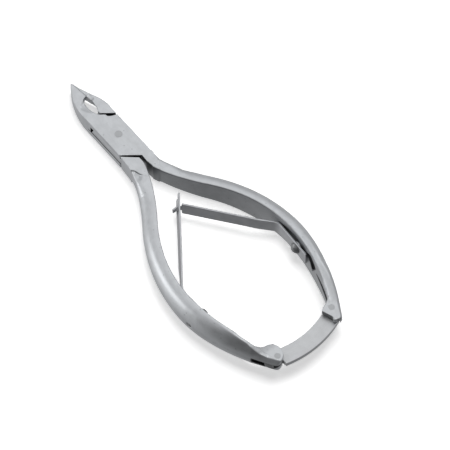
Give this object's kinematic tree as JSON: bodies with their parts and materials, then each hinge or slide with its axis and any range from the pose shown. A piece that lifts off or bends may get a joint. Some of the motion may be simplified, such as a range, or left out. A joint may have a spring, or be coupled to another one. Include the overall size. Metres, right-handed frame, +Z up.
{
  "type": "cuticle nipper",
  "caption": "Stainless cuticle nipper with a box joint, two half-oval handles, interlocked leaf springs and a hooked back lock arm, shown closed and locked.",
  "frame": {"origin": "on the joint pin's axis, in the underside of the box joint", "axes": "+X along the tool towards the cutting tips, +Z up along the joint pin, +Y towards the handle of the through half"},
  "size_m": [0.1167, 0.047, 0.0126],
  "materials": {
    "body": "satin, filed along the handles",
    "pins": "ground flush",
    "springs": "rolled spring strip",
    "rivets": "domed, satin",
    "arm": "satin, edges polished"
  },
  "bodies": {
    "box_side": {"box_half": "body", "joint_pin": "pins", "box_spring_foot": "springs", "box_spring_rivet": "rivets", "lock_hinge_pin": "pins"},
    "through_side": {"through_half": "body", "through_spring_foot": "springs", "through_spring_rivet": "rivets", "lock_catch_pin": "pins"},
    "lock": {"lock_arm": "arm"},
    "box_blade": {"box_spring_blade": "springs"},
    "through_blade": {"through_spring_blade": "springs"}
  },
  "joints": [
    {"name": "jaws_open", "type": "hinge", "parent": "box_side", "child": "through_side", "pos_m": [0, 0, 0.00355], "axis": [0, 0, -1], "range_deg": [0, 16]},
    {"name": "lock_swing", "type": "hinge", "parent": "box_side", "child": "lock", "pos_m": [-0.0858, -0.012, 0.00355], "axis": [0, 0, -1], "range_deg": [0, 95]},
    {"name": "box_blade_bend", "type": "hinge", "parent": "box_side", "child": "box_blade", "pos_m": [-0.0537, -0.0183, 0.00355], "axis": [0, 0, 1], "range_deg": [0, 12]},
    {"name": "through_blade_bend", "type": "hinge", "parent": "through_side", "child": "through_blade", "pos_m": [-0.0537, 0.0183, 0.00355], "axis": [0, 0, -1], "range_deg": [0, 12]}
  ],
  "couplings": [
    {"joint": "lock_swing", "follows": "jaws_open", "ratio": 5.8},
    {"joint": "box_blade_bend", "follows": "jaws_open", "ratio": 0.7},
    {"joint": "through_blade_bend", "follows": "jaws_open", "ratio": 0.7}
  ]
}
